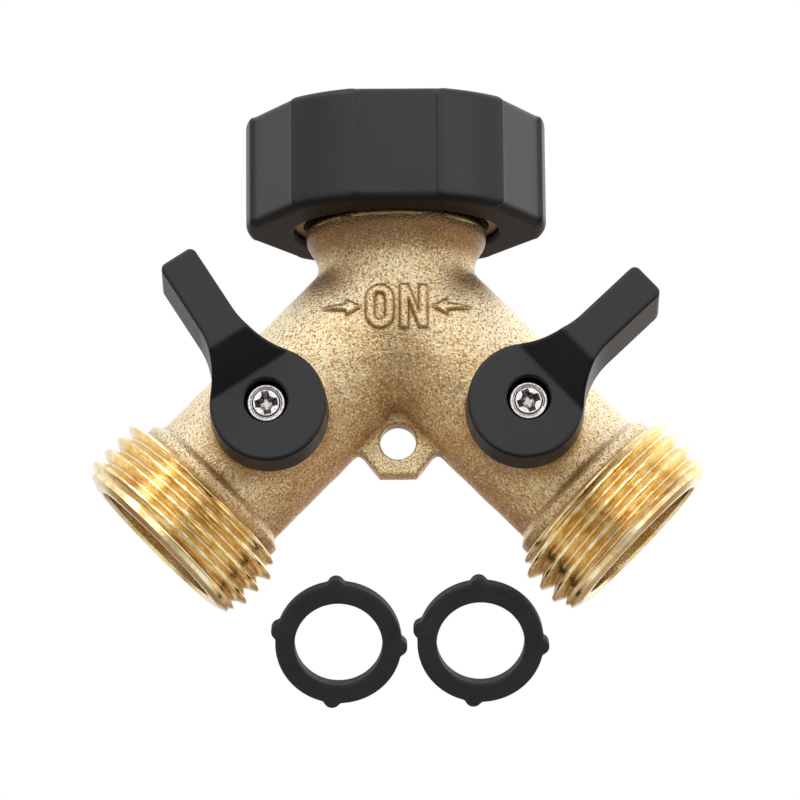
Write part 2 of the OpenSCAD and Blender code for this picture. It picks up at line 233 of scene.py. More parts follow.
def pull_to_surface(field, points, reach):
    """Moves points onto the zero surface of a field, by steps along its slope."""
    small = reach * SLOPE_SAMPLE
    for _ in range(PULL_ROUNDS):
        x, y, z = points.T
        value = field(x, y, z)
        slope = np.stack([
            field(x + small, y, z) - field(x - small, y, z),
            field(x, y + small, z) - field(x, y - small, z),
            field(x, y, z + small) - field(x, y, z - small),
        ], axis=1) / (2 * small)
        step = value / np.maximum((slope ** 2).sum(1), FLATTEST_SLOPE)
        step = np.clip(step, -LONGEST_PULL * reach, LONGEST_PULL * reach)
        points = points - step[:, None] * slope
    return points


def surface_nets(field, low, high, step):
    """Closed quad mesh of the zero surface of a field, as (points, quads)."""
    count = np.ceil((np.array(high) - low) / step).astype(int) + 1
    x, y, z = (low[i] + step * np.arange(count[i]) for i in range(3))
    values = field(x[:, None, None], y[None, :, None], z[None, None, :])
    values = np.broadcast_to(values, count).astype(np.float32)
    inside = values < 0
    cells = [slice(0, -1), slice(1, None)]
    held = sum(inside[cells[i], cells[j], cells[k]].astype(np.int8) for i, j, k in CORNERS)
    active = (held > 0) & (held < 8)
    index = -np.ones(active.shape, dtype=np.int64)
    cell = np.argwhere(active)
    index[active] = np.arange(len(cell))
    corner = np.stack([values[tuple((cell + c).T)] for c in CORNERS], axis=1)
    total = np.zeros((len(cell), 3))
    hits = np.zeros(len(cell))
    for a, b in EDGES:
        crossed = (corner[:, a] < 0) != (corner[:, b] < 0)
        gap = np.where(crossed, corner[:, a] - corner[:, b], 1)
        t = np.where(crossed, corner[:, a] / gap, 0)
        total += crossed[:, None] * (CORNERS[a] + t[:, None] * (CORNERS[b] - CORNERS[a]))
        hits += crossed
    points = np.array(low) + step * (cell + total / hits[:, None])
    quads = []
    for axis in range(3):
        u, v = (axis + 1) % 3, (axis + 2) % 3
        first = [slice(1, -1)] * 3
        first[axis] = slice(0, -1)
        second = list(first)
        second[axis] = slice(1, None)
        here = inside[tuple(first)]
        there = inside[tuple(second)]
        for leaving in (True, False):
            edge = np.argwhere((here != there) & (here == leaving))
            edge[:, u] += 1
            edge[:, v] += 1
            ring = []
            for du, dv in ((-1, -1), (0, -1), (0, 0), (-1, 0)):
                near = edge.copy()
                near[:, u] += du
                near[:, v] += dv
                ring.append(index[tuple(near.T)])
            quads.append(np.stack(ring if leaving else ring[::-1], axis=1))
    return points, np.concatenate(quads)


def mesh_object(name, points_mm, faces):
    """Smooth-shaded object from points in millimetres."""
    mesh = bpy.data.meshes.new(name)
    mesh.from_pydata((np.asarray(points_mm) * MM).tolist(), [], [tuple(map(int, f)) for f in faces])
    mesh.validate()
    mesh.polygons.foreach_set("use_smooth", [True] * len(mesh.polygons))
    mesh.update()
    piece = bpy.data.objects.new(name, mesh)
    bpy.context.scene.collection.objects.link(piece)
    return piece


def field_mesh(field, low, high, step):
    """Mesh of a field's surface inside the box from low to high, as (points, quads)."""
    points, quads = surface_nets(field, np.array(low, float), np.array(high, float), step)
    return pull_to_surface(field, points, step), quads


class Place:
    """Puts local points in the frame: a shift in the local frame, three axes as rows, then the origin."""

    def __init__(self, axes, origin, shift=(0, 0, 0)):
        self.axes = axes
        self.origin = np.array(origin, float)
        self.shift = np.array(shift, float)

    def __call__(self, points):
        return (points + self.shift) @ self.axes + self.origin


def along_leg(side_name):
    """Place with the local Z out along a leg, from the junction."""
    z_axis = np.array([SIDES[side_name] * SIN, 0, -COS])
    y_axis = np.array([0, 1, 0])
    x_axis = np.cross(y_axis, z_axis)
    return Place(np.stack([x_axis, y_axis, z_axis]), (0, 0, JUNCTION_Z))


def on_valve(side_name, turn, lift):
    """Place on a valve's axis: local Z out of the front and Y up, turned by an angle and lifted off."""
    x_axis = [math.cos(turn), 0, math.sin(turn)]
    y_axis = [-math.sin(turn), 0, math.cos(turn)]
    pivot = np.array(joints[side_name + "_lever_turn"]["pos_m"]) / MM
    return Place(np.array([x_axis, y_axis, [0, -1, 0]]), pivot, (0, 0, lift))


UPRIGHT = Place(np.eye(3), (0, 0, 0))


# ---------------------------------------------------------------- fields of the casting
THREAD_END_GAP = 0.4
THREAD_END_EDGE = 0.2
BOSS_BACK = 4.0
BOSS_EDGE = 0.25
TAB_EDGE = 0.45
LEG_FILLET = 1.6
NECK_FILLET = 0.45
TAB_FILLET = 1.2
BOSS_FILLET = 2.2
LUG_FILLET = 0.2
BORE_EDGE = 0.25
WAVE_H = 0.022
NECK_FOOT_DEPTH = 2
NECK_FOOT_SLOPE = 0.35
BORE_FOOT_DEPTH = 3
BORE_FOOT_SLOPE = 0.5


def leg_frame(x, z, side):
    """Distance out along a leg from the junction, and distance across it in the legs' plane."""
    drop = JUNCTION_Z - z
    along = side * x * SIN + drop * COS
    across = side * x * COS - drop * SIN
    return along, across


def valve_frame(x, z, side):
    """Sideways and upward offsets from a valve's axis."""
    return x - side * right_pivot[0], z - right_pivot[2]


def leg_outside(x, y, z, side):
    """A round leg with a ball end at the junction, which widens to the collar behind the thread."""
    along, across = leg_frame(x, z, side)
    radial = np.hypot(across, y)
    ramp = smooth_step((along - COLLAR_START + COLLAR_RAMP) / COLLAR_RAMP)
    wall = radial - LEG_R - (COLLAR_R - LEG_R) * ramp
    start = np.sqrt(radial ** 2 + np.minimum(along, 0) ** 2) - LEG_R
    shaft = np.where(along < 0, start, wall)
    return round_max(shaft, along - THREAD_START - THREAD_END_GAP, THREAD_END_EDGE)


def neck_outside(x, y, z):
    """The upright neck, which flares just under the nut."""
    radial = np.hypot(x, y)
    above = z - JUNCTION_Z
    flare = NECK_FLARE * smooth_step((above - NECK_FLARE_START) / NECK_FLARE_L)
    wall = radial - NECK_R - flare
    foot = -above - NECK_FOOT_DEPTH + NECK_FOOT_SLOPE * radial
    return np.maximum(np.maximum(wall, above - NECK_TOP), foot)


def boss_outside(x, y, z, side):
    """The round boss under a lever."""
    u, v = valve_frame(x, z, side)
    length = np.maximum(-y - BOSS_TOP, y + BOSS_BACK)
    return round_max(np.hypot(u, v) - BOSS_R, length, BOSS_EDGE)


def lug_outside(x, y, z, side):
    """The lug on a boss's face that stops the lever."""
    u, v = valve_frame(x, z, side)
    radial = np.hypot(u, v)
    ring = np.maximum(radial - LUG_OUT_R, LUG_IN_R - radial)
    sector = np.abs(u) * math.cos(LUG_HALF_ANGLE) + v * math.sin(LUG_HALF_ANGLE)
    length = np.maximum(-y - BOSS_TOP - LUG_H, y + BOSS_TOP - 1)
    return np.maximum(np.maximum(ring, sector), length)


TAB_BOTTOM = TAB_HOLE_Z - 4.5
TAB_CORNER = TAB_HOLE_Z - 1.55
TAB_ROOT = TAB_HOLE_Z + 6
TAB_BOTTOM_HALF_W = 2.4
TAB_HALF_W = 4.75
TAB_POINTS = [
    (-TAB_BOTTOM_HALF_W, TAB_BOTTOM),
    (TAB_BOTTOM_HALF_W, TAB_BOTTOM),
    (TAB_HALF_W, TAB_CORNER),
    (TAB_HALF_W, TAB_ROOT),
    (-TAB_HALF_W, TAB_ROOT),
    (-TAB_HALF_W, TAB_CORNER),
]


def tab_outside(x, y, z):
    """The mounting tab between the legs."""
    return round_max(polygon_distance(x, z, TAB_POINTS), np.abs(y) - TAB_T / 2, TAB_EDGE)


MARK_RISE = 0.55
MARK_SLOPE_W = 0.42
MARK_Z = JUNCTION_Z - 2.1
MARK_BACK = 5.0
MARK_FADE_L = 2
LETTER_H = 5.6
LETTER_W = 3.5
LETTER_GAP = 0.85
STROKE = 1.05
ARROW_AT = 4.6
ARROW_L = 4.9
ARROW_HEAD_HALF_H = 1.05
ARROW_HEAD_L = 1.9
ARROW_SHAFT_HALF_H = 0.45
ARROW_TAIL_HALF_H = 0.12
ARROW_POINTS = [
    (0, 0),
    (-ARROW_HEAD_L, ARROW_HEAD_HALF_H),
    (-ARROW_HEAD_L, ARROW_SHAFT_HALF_H),
    (-ARROW_L, ARROW_TAIL_HALF_H),
    (-ARROW_L, -ARROW_TAIL_HALF_H),
    (-ARROW_HEAD_L, -ARROW_SHAFT_HALF_H),
    (-ARROW_HEAD_L, -ARROW_HEAD_HALF_H),
]
N_HALF_W = LETTER_W / 2
N_HALF_H = LETTER_H / 2
N_INNER = LETTER_W / 2 - STROKE
N_JOIN = 1.9
N_POINTS = [
    (-N_HALF_W, -N_HALF_H),
    (-N_HALF_W, N_HALF_H),
    (-N_INNER, N_HALF_H),
    (N_INNER, -N_HALF_H + N_JOIN),
    (N_INNER, N_HALF_H),
    (N_HALF_W, N_HALF_H),
    (N_HALF_W, -N_HALF_H),
    (N_INNER, -N_HALF_H),
    (-N_INNER, N_HALF_H - N_JOIN),
    (-N_INNER, -N_HALF_H),
]


def mark_plan(x, z):
    """Signed distance to the direction mark's outline, seen from the front."""
    letter_x = (LETTER_W + LETTER_GAP) / 2
    v = z - MARK_Z
    u = x + letter_x
    straight = (LETTER_H - LETTER_W) / 2
    slot = np.hypot(u, np.maximum(np.abs(v) - straight, 0)) - LETTER_W / 2
    letter_o = np.abs(slot + STROKE / 2) - STROKE / 2
    letter_n = polygon_distance(x - letter_x, v, N_POINTS)
    arrow = polygon_distance(ARROW_AT - np.abs(x), v, ARROW_POINTS)
    return np.minimum(np.minimum(letter_o, letter_n), arrow)


def facing_front(y):
    """1 on the front of the casting, falling to 0 near its middle."""
    return smooth_step((-y - MARK_BACK) / MARK_FADE_L)


def wavy(x, y, z):
    """Slow unevenness of a cast surface, up to about a twentieth of a millimetre."""
    ripple = np.sin(0.9 * x + 1.3 * z) * np.sin(1.1 * y - 0.7 * x + 1)
    swell = np.sin(1.7 * z - 0.8 * y + 2)
    return (ripple + swell) * WAVE_H


def casting_outside(x, y, z):
    body = mix_min(leg_outside(x, y, z, -1), leg_outside(x, y, z, 1), LEG_FILLET)
    body = mix_min(body, neck_outside(x, y, z), NECK_FILLET)
    body = mix_min(body, tab_outside(x, y, z), TAB_FILLET)
    for side in (-1, 1):
        body = mix_min(body, boss_outside(x, y, z, side), BOSS_FILLET)
    return body + wavy(x, y, z)


def casting_inside(x, y, z):
    """Waterways, stem passages and the tab's hole: negative in the open space."""
    radial = np.hypot(x, y)
    above = z - JUNCTION_Z
    foot = -above - BORE_FOOT_DEPTH + BORE_FOOT_SLOPE * radial
    space = np.maximum(radial - NECK_BORE_R, foot)
    for side in (-1, 1):
        along, across = leg_frame(x, z, side)
        reach = np.hypot(across, y)
        passage = np.maximum(reach - PASSAGE_R, -along)
        cavity = np.maximum(reach - CAVITY_R, CAVITY_START - along)
        u, v = valve_frame(x, z, side)
        from_stem = np.hypot(u, v)
        stem = np.maximum(from_stem - STEM_BORE_R, y)
        pocket = np.maximum(from_stem - FLANGE_POCKET_R, np.maximum(y, -y - FLANGE_POCKET_DEPTH))
        space = np.minimum(space, np.minimum(np.minimum(passage, cavity), np.minimum(stem, pocket)))
    return np.minimum(space, np.hypot(x, z - TAB_HOLE_Z) - TAB_HOLE_R)


def casting_plain(x, y, z):
    """The casting without its direction mark."""
    body = round_max(casting_outside(x, y, z), -casting_inside(x, y, z), BORE_EDGE)
    lugs = np.minimum(lug_outside(x, y, z, -1), lug_outside(x, y, z, 1))
    return mix_min(body, lugs, LUG_FILLET)


def casting_marked(x, y, z):
    rise = MARK_RISE * smooth_step(0.5 - mark_plan(x, z) / MARK_SLOPE_W)
    return casting_plain(x, y, z) - rise * facing_front(y)


# ---------------------------------------------------------------- mesh of the casting
CASTING_STEP = 0.3
CASTING_LOW = (-38.0, -BOSS_TOP - LUG_H - 0.8, JUNCTION_Z - 34.0)
CASTING_HIGH = (38.0, 12.6, JUNCTION_Z + 10.9)
MARK_CUTS = 2
MARK_MARGIN = 0.9
MARK_SHADE = "mark_shade"
SHADE_AT = 0.06
SHADE_W = 0.34


def refine_mark(points, quads):
    """Splits the faces round the direction mark in three, so that its edges are crisp."""
    centre = points[quads].mean(1)
    near = mark_plan(centre[:, 0], centre[:, 2]) < MARK_MARGIN
    chosen = near & (centre[:, 1] < -MARK_BACK)
    piece = mesh_object("y_body_casting", points, quads)
    shape = bmesh.new()
    shape.from_mesh(piece.data)
    shape.faces.ensure_lookup_table()
    edges = {e for i in np.flatnonzero(chosen) for e in shape.faces[i].edges}
    bmesh.ops.subdivide_edges(shape, edges=list(edges), cuts=MARK_CUTS, use_grid_fill=True)
    shape.to_mesh(piece.data)
    shape.free()
    return piece


def make_casting():
    """The casting, with an attribute that is 1 along the direction mark's outline, where painted shade sits."""
    step = CASTING_STEP
    points, quads = field_mesh(casting_plain, CASTING_LOW, CASTING_HIGH, step)
    piece = refine_mark(points, quads)
    mesh = piece.data
    flat = np.empty(len(mesh.vertices) * 3)
    mesh.vertices.foreach_get("co", flat)
    fine = pull_to_surface(casting_marked, flat.reshape(-1, 3) / MM, step)
    mesh.vertices.foreach_set("co", (fine * MM).ravel())
    x, y, z = fine.T
    edge = np.clip(1 - np.abs(mark_plan(x, z) - SHADE_AT) / SHADE_W, 0, 1)
    shade = mesh.attributes.new(MARK_SHADE, "FLOAT", "POINT")
    shade.data.foreach_set("value", (edge * facing_front(y)).astype(np.float32))
    mesh.polygons.foreach_set("use_smooth", [True] * len(mesh.polygons))
    mesh.update()
    return piece


# ---------------------------------------------------------------- turned and threaded pieces
TURNS = 240
SHARP_ANGLE = math.radians(32)
ROWS_PER_PITCH = 30
EDGE_BREAK = 0.3
NICK = 0.05


def tube_object(name, rows, place):
    """Closed ring-shaped mesh from rows of (distance along, radius at each angle)."""
    angle = np.arange(TURNS) * 2 * math.pi / TURNS
    rings = []
    for along, radius in rows:
        r = np.broadcast_to(radius, TURNS)
        rings.append(np.stack([r * np.cos(angle), r * np.sin(angle), np.broadcast_to(along, TURNS)], axis=1))
    points = place(np.concatenate(rings))
    quads = []
    for i in range(len(rows)):
        here = i * TURNS
        there = (i + 1) % len(rows) * TURNS
        for j in range(TURNS):
            k = (j + 1) % TURNS
            quads.append((here + j, here + k, there + k, there + j))
    piece = mesh_object(name, points, quads)
    piece.data.set_sharp_from_angle(angle=SHARP_ANGLE)
    return piece


def thread_height(along, first_crest, depth):
    """Height of a right-handed thread above its root at each angle of a ring."""
    turn = np.arange(TURNS) / TURNS
    phase = (along - first_crest) / PITCH - turn
    off = np.abs(phase - np.round(phase)) * PITCH
    flank = depth * FLANK_SLOPE
    crest_half_w = (PITCH / 2 - flank) / 2
    t = np.clip((crest_half_w + flank - off) / flank, 0, 1)
    return depth * (0.6 * t + 0.4 * smooth_step(t))


RUN_IN_L = 1.1
RUN_OUT_L = 0.7
RUN_OUT_LAP = 0.3
ROOT_RAMP_L = 0.35
LAND_RAMP_L = 0.4
END_CHAMFER = 3.0
MOUTH_BREAK = 0.35
COLLAR_LAP = 0.1
COLLAR_SINK = 0.4
STEP_LAP = 0.03
FINE_GAP = 0.02


def outlet_rows(side_name):
    """Outside of an outlet's thread, its end face, its mouth and back along its bore."""
    first_crest = FIRST_CREST + THREAD_LEAD[side_name]
    rows = [
        (THREAD_START - COLLAR_LAP, COLLAR_R - COLLAR_SINK),
        (THREAD_START + FINE_GAP, COLLAR_R + FINE_GAP),
    ]
    at = THREAD_START + COLLAR_LAP
    while at < LEG_END - FINE_GAP:
        left = LEG_END - at
        base = COLLAR_R + (ROOT_R - COLLAR_R) * min((at - THREAD_START) / ROOT_RAMP_L, 1)
        base += (END_LAND_R - ROOT_R) * smooth_step((END_LAND_L + LAND_RAMP_L - left) / LAND_RAMP_L)
        run_in = smooth_step((at - THREAD_START) / RUN_IN_L)
        run_out = smooth_step((left - END_LAND_L + RUN_OUT_LAP) / RUN_OUT_L)
        height = run_in * run_out * thread_height(at, first_crest, THREAD_DEPTH)
        rows.append((at, np.minimum(base + height, END_FACE_R + left * END_CHAMFER)))
        at += PITCH / ROWS_PER_PITCH
    back_r = CAVITY_R + STEP_LAP
    rows += [
        (LEG_END, END_FACE_R),
        (LEG_END, MOUTH_R + MOUTH_BREAK),
        (LEG_END - MOUTH_BREAK, MOUTH_R),
        (MOUTH_START + NICK, MOUTH_R),
        (MOUTH_START, MOUTH_R - NICK),
        (MOUTH_START, back_r),
        (THREAD_START - COLLAR_LAP, back_r),
    ]
    return rows


SPIGOT_FOOT = -7.6
SPIGOT_ROOT = -8.6
SPIGOT_TOP_BREAK = 0.35
BORE_LAP = 0.04
GROOVE_LOW = -5.4
GROOVE_HIGH = -4.2
GROOVE_R = 10.9


def spigot_rows():
    """The machined top of the neck, with the groove for the nut's retaining ring."""
    bore = NECK_BORE_R - BORE_LAP
    return [
        (SPIGOT_FOOT, NECK_R),
        (SPIGOT_FOOT + 0.25, SPIGOT_R - 0.12),
        (SPIGOT_FOOT + 0.6, SPIGOT_R),
        (GROOVE_LOW, SPIGOT_R),
        (GROOVE_LOW, GROOVE_R),
        (GROOVE_HIGH, GROOVE_R),
        (GROOVE_HIGH, SPIGOT_R),
        (SPIGOT_TOP - SPIGOT_TOP_BREAK, SPIGOT_R),
        (SPIGOT_TOP, SPIGOT_R - SPIGOT_TOP_BREAK),
        (SPIGOT_TOP, bore + EDGE_BREAK),
        (SPIGOT_TOP - EDGE_BREAK, bore),
        (SPIGOT_ROOT, bore),
        (SPIGOT_ROOT, NECK_R - 1),
    ]


INSERT_CORNER_R = 16.2
INSERT_TOP_BREAK = 0.4
INSERT_ENTRY = 0.5
INSERT_ENTRY_SLOPE = 1.2
INSERT_RUN_IN_L = 1.2
INSERT_RUN_OUT_L = 0.5
INSERT_TOP_GAP = 0.2
INSERT_THREAD_END = -0.7
INSERT_FIRST_CREST = 0.1
INSERT_FLOOR = -3.2
RING_GROOVE_HIGH = -4.25
RING_GROOVE_LOW = -5.35
RING_GROOVE_R = 13.0


def insert_rows():
    """The hexagonal nut: its outside, its female thread, the washer's floor and the ring groove."""
    low, high = box_mm("nut_insert")
    bottom, top = low[2], high[2]
    angle = np.arange(TURNS) * 2 * math.pi / TURNS
    from_flat = (angle % (math.pi / 3)) - math.pi / 6
    hexagon = INSERT_APOTHEM / np.cos(from_flat)
    entry_r = INSERT_ROOT_R + INSERT_ENTRY
    rows = [
        (bottom, hexagon - EDGE_BREAK),
        (bottom + EDGE_BREAK, hexagon),
        (top - INSERT_TOP_BREAK, hexagon),
        (top, np.minimum(hexagon - INSERT_TOP_BREAK, INSERT_CORNER_R)),
        (top, entry_r),
    ]
    at = top - 0.1
    while at > INSERT_THREAD_END:
        height = thread_height(at, INSERT_FIRST_CREST, INSERT_ROOT_R - INSERT_CREST_R)
        run_in = smooth_step((top - INSERT_TOP_GAP - at) / INSERT_RUN_IN_L)
        run_out = smooth_step((at - INSERT_THREAD_END) / INSERT_RUN_OUT_L)
        entry = entry_r - (top - at) * INSERT_ENTRY_SLOPE
        rows.append((at, np.maximum(INSERT_ROOT_R - run_in * run_out * height, np.minimum(entry, entry_r))))
        at -= PITCH / ROWS_PER_PITCH
    rows += [
        (INSERT_FLOOR + NICK, INSERT_ROOT_R),
        (INSERT_FLOOR, INSERT_ROOT_R - NICK),
        (INSERT_FLOOR, INSERT_BORE_R),
        (RING_GROOVE_HIGH, INSERT_BORE_R),
        (RING_GROOVE_HIGH, RING_GROOVE_R),
        (RING_GROOVE_LOW, RING_GROOVE_R),
        (RING_GROOVE_LOW, INSERT_BORE_R),
        (bottom + EDGE_BREAK, INSERT_BORE_R),
        (bottom, INSERT_BORE_R + EDGE_BREAK),
    ]
    return rows


# ---------------------------------------------------------------- levers
LEVER_STEP = 0.17
LEVER_LOW = (-8.4, -8.4, -0.6)
LEVER_HIGH = (8.4, 21.6, 12.7)
LEVER_EDGE = 0.42
LEVER_FINE_EDGE = 0.2
LEVER_TOP_EDGE = 0.3


def lever_plan(x, y):
    """Signed distance to a lever's plan, with the pivot at the origin and the arm along Y."""
    y = y + HUB_BACK
    flare_x = ARM_HALF_W + FLARE_R
    flare_y = math.sqrt((HUB_R + FLARE_R) ** 2 - flare_x ** 2)
    side = np.abs(x)
    hub = np.hypot(x, y) - HUB_R
    flare = FLARE_R - np.hypot(side - flare_x, y - flare_y)
    arm = round_max(side - ARM_HALF_W, y - LEVER_REACH - HUB_BACK, TIP_R)
    return np.where(y > flare_y, arm, np.where(side * flare_y > y * flare_x, hub, flare))


def lever_field(x, y, z):
    """A lever with its counterbore, screw hole, square socket and stop pocket. Its back is at zero."""
    side_wall = lever_plan(x, y) - (ARM_H / 2 - z) * LEVER_DRAFT
    slope = (ARM_H - HUB_H) / (RAMP_HEAD - RAMP_FOOT)
    ramp = (z - HUB_H - slope * (y - RAMP_FOOT)) / math.hypot(1, slope)
    top = mix_max(mix_min(z - HUB_H, ramp, LEVER_FINE_EDGE), z - ARM_H, LEVER_TOP_EDGE)
    solid = round_max(side_wall, top, LEVER_EDGE)
    solid = round_max(solid, -z, LEVER_FINE_EDGE)
    radial = np.hypot(x, y)
    counterbore = np.maximum(radial - COUNTERBORE_R, SCREW_SEAT - z)
    solid = round_max(solid, -counterbore, LEVER_FINE_EDGE)
    solid = np.maximum(solid, SCREW_HOLE_R - radial)
    socket = np.maximum(np.maximum(np.abs(x), np.abs(y)) - SOCKET_HALF_W, z - SOCKET_H)
    sector = np.abs(x) * math.cos(STOP_HALF_ANGLE) + y * math.sin(STOP_HALF_ANGLE)
    ring = np.maximum(radial - STOP_OUT_R, STOP_IN_R - radial)
    stop = np.maximum(ring, np.maximum(sector, z - STOP_H))
    return np.maximum(solid, -np.minimum(socket, stop))


def local_object(name, field, low, high, step, place):
    """A field's mesh made in its own local frame, then placed."""
    points, quads = field_mesh(field, low, high, step)
    return mesh_object(name, place(points), quads)


def make_lever(side_name):
    step = LEVER_STEP
    place = on_valve(side_name, HEADINGS[side_name], LEVER_BASE)
    name = "lever_" + side_name + "_moulding"
    return local_object(name, lever_field, LEVER_LOW, LEVER_HIGH, step, place)


# ---------------------------------------------------------------- screws
SCREW_STEP = 0.07
SCREW_LOW = (-2.8, -2.8, -SHANK_L - 0.2)
SCREW_HIGH = (2.8, 2.8, 2.1)
SCREW_LIFT = LEVER_BASE + SCREW_SEAT + 0.01
HEAD_EDGE = 0.25
RING_R = 1.85
RING_HALF_W = 0.2
RING_DEPTH = 0.16
SLOT_HALF_L = 1.42
SLOT_HALF_W = 0.42
SLOT_CORE_R = 0.95
SLOT_CORE_TAPER = 1.6
SLOT_CORE_FILLET = 0.25
SLOT_FLOOR = 0.55
SLOT_TAPER = 0.28
SLOT_EDGE = 0.08


def screw_field(x, y, z):
    """Pan head with a cross recess. The head's seat is at zero."""
    radial = np.hypot(x, y)
    ring = RING_DEPTH * np.clip(1 - np.abs(radial - RING_R) / RING_HALF_W, 0, 1)
    head = round_max(radial - HEAD_R, z - HEAD_T + ring, HEAD_EDGE)
    head = np.maximum(head, -z)
    shank = np.maximum(radial - SHANK_R, np.maximum(z - 0.1, -z - SHANK_L))
    taper = SLOT_TAPER * (HEAD_T - z)
    half_l = SLOT_HALF_L - taper * 2
    half_w = SLOT_HALF_W - taper * 0.5
    slots = np.minimum(
        np.maximum(np.abs(x) - half_l, np.abs(y) - half_w),
        np.maximum(np.abs(y) - half_l, np.abs(x) - half_w),
    )
    core = radial - SLOT_CORE_R + taper * SLOT_CORE_TAPER
    recess = np.maximum(mix_min(slots, core, SLOT_CORE_FILLET), SLOT_FLOOR - z)
    return round_max(np.minimum(head, shank), -recess, SLOT_EDGE)


def make_screw(side_name):
    step = SCREW_STEP
    place = on_valve(side_name, SCREW_TURN[side_name], SCREW_LIFT)
    name = "lever_screw_" + side_name + "_bright"
    return local_object(name, screw_field, SCREW_LOW, SCREW_HIGH, step, place)


# ---------------------------------------------------------------- grip
GRIP_STEP = 0.27
GRIP_LOW_CORNER = (-20.2, -20.2, GRIP_LOW - 0.7)
GRIP_HIGH_CORNER = (20.2, 20.2, GRIP_HIGH + 0.7)
GRIP_TOP_EDGE = 0.8
GRIP_BOTTOM_EDGE = 1.25
GRIP_POCKET_EDGE = 0.5
GRIP_PAD_EDGE = 0.45
GRIP_HOLE_EDGE = 0.35
GRIP_HEXAGON = INSERT_APOTHEM + 0.04
SIXTH_TURN = math.pi / 3


def grip_field(x, y, z):
    """Six rounded pads with flats between them, over a hexagonal pocket for the nut."""
    radial = np.hypot(x, y)
    angle = np.arctan2(y, x) + math.pi / 2 - GRIP_TURN
    folded = angle - SIXTH_TURN * np.round(angle / SIXTH_TURN)
    u = radial * np.cos(folded)
    v = radial * np.sin(folded)
    half_w = GRIP_PAD_R * math.sin(GRIP_FLAT_HALF)
    pocket = mix_max(GRIP_APOTHEM - u, np.abs(v) - half_w, GRIP_POCKET_EDGE)
    plan = mix_max(radial - GRIP_PAD_R, -pocket, GRIP_PAD_EDGE)
    solid = round_max(plan, z - GRIP_HIGH, GRIP_TOP_EDGE)
    solid = round_max(solid, GRIP_LOW - z, GRIP_BOTTOM_EDGE)
    hexagon = np.maximum(np.abs(y), np.abs(y) * 0.5 + np.abs(x) * SQRT3 / 2) - GRIP_HEXAGON
    space = np.maximum(hexagon, GRIP_LOW + GRIP_LEDGE - z)
    space = np.minimum(space, radial - GRIP_HOLE_R)
    return round_max(solid, -space, GRIP_HOLE_EDGE)


def make_grip():
    step = GRIP_STEP
    points, quads = field_mesh(grip_field, GRIP_LOW_CORNER, GRIP_HIGH_CORNER, step)
    return mesh_object("nut_grip_moulding", points, quads)


# ---------------------------------------------------------------- washers
EAR_FILLET = 0.3
SPARE_STEP = 0.16
SPARE_LOW = (-9.6, -9.6, -0.5)
SPARE_HIGH = (9.6, 9.6, 2.9)
SPARE_EDGE = 0.35
INLET_WASHER_STEP = 0.22
INLET_WASHER_LOW = (-13.8, -13.8, -0.6)
INLET_WASHER_HIGH = (13.8, 13.8, 3.4)
INLET_WASHER_EDGE = 0.3


def washer_field(outer_r, hole_r, height, ear_r, ear_at, ear_h, ears_deg, edge):
    """Field of an eared washer that lies on the local XY plane."""
    def field(x, y, z):
        radial = np.hypot(x, y)
        flat = np.maximum(-z, z - height)
        washer = round_max(np.maximum(radial - outer_r, hole_r - radial), flat, edge)
        for angle in map(math.radians, ears_deg):
            reach = np.hypot(x - ear_at * math.cos(angle), y - ear_at * math.sin(angle)) - ear_r
            ear = round_max(reach, np.maximum(-z, z - ear_h), edge)
            washer = mix_min(washer, np.maximum(ear, hole_r + 1 - radial), EAR_FILLET)
        return washer
    return field


def make_spare_washer(side_name):
    step = SPARE_STEP
    field = washer_field(SPARE_OUT_R, SPARE_HOLE_R, SPARE_T, SPARE_EAR_R, SPARE_EAR_AT, SPARE_T,
                         SPARE_EARS_DEG, SPARE_EDGE)
    tilt = math.pi / 2 + SPARE_LEAN
    y_axis = [0, math.cos(tilt), math.sin(tilt)]
    z_axis = [0, -math.sin(tilt), math.cos(tilt)]
    axes = np.array([[1, 0, 0], y_axis, z_axis])
    place = Place(axes, (SPARE_X[side_name], 0, SPARE_Z), (0, 0, -SPARE_T / 2))
    name = "spare_washer_" + side_name + "_rubber"
    return local_object(name, field, SPARE_LOW, SPARE_HIGH, step, place)


def make_inlet_washer():
    step = INLET_WASHER_STEP
    low, high = box_mm("inlet_washer")
    field = washer_field(INLET_WASHER_OUT_R, INLET_WASHER_HOLE_R, high[2] - low[2], INLET_EAR_R, INLET_EAR_AT,
                         INLET_EAR_T, INLET_EARS_DEG, INLET_WASHER_EDGE)
    place = Place(np.eye(3), (0, 0, low[2]))
    return local_object("inlet_washer_rubber", field, INLET_WASHER_LOW, INLET_WASHER_HIGH, step, place)


